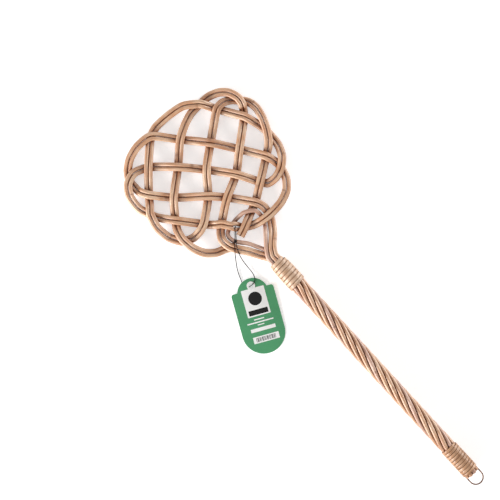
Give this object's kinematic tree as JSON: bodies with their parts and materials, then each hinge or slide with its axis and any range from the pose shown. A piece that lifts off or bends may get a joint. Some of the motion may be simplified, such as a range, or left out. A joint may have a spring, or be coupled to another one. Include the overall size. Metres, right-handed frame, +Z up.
{
  "type": "carpet beater",
  "caption": "Woven rattan carpet beater with a knotted flat head, a twisted cane handle, a wire hanging loop and a swing tag.",
  "frame": {"origin": "middle of the beater's footprint, on the surface that it lies on", "axes": "+X runs along the handle, away from the head; +Z is up, square to the flat head"},
  "size_m": [0.6006, 0.2141, 0.0243],
  "materials": {
    "cane": "smooth peeled rattan, satin",
    "neck_cane": "smooth peeled rattan, pinkish, satin",
    "core_stick": "sawn end, matte",
    "neck_peel": "flat rattan peel, satin",
    "end_peel": "flat rattan peel, satin",
    "wire": "dull drawn wire",
    "string": "twisted thread, matte",
    "card": "printed card, satin",
    "eyelet": "smooth white ring"
  },
  "bodies": {
    "beater": {"long_cane_left": "cane", "long_cane_right": "cane", "short_cane_left": "cane", "short_cane_right": "cane", "neck_loop_cane": "neck_cane", "filler_cane_left": "cane", "filler_cane_right": "cane", "handle_core": "core_stick", "neck_binding": "neck_peel", "end_binding": "end_peel", "hanging_loop": "wire"},
    "string": {"tag_string": "string", "string_knot": "string"},
    "tag": {"tag_card": "card", "tag_eyelet": "eyelet"}
  },
  "joints": [
    {"name": "string_lift", "type": "hinge", "parent": "beater", "child": "string", "pos_m": [-0.13472, -0.02495, 0.00749], "axis": [-0.6782, -0.7349, 0], "range_deg": [0, 90]},
    {"name": "tag_swivel", "type": "hinge", "parent": "string", "child": "tag", "pos_m": [-0.07073, -0.05825, 0.0018], "axis": [0.0185, -0.0095, 0.9998], "range_deg": [-35, 20]}
  ]
}
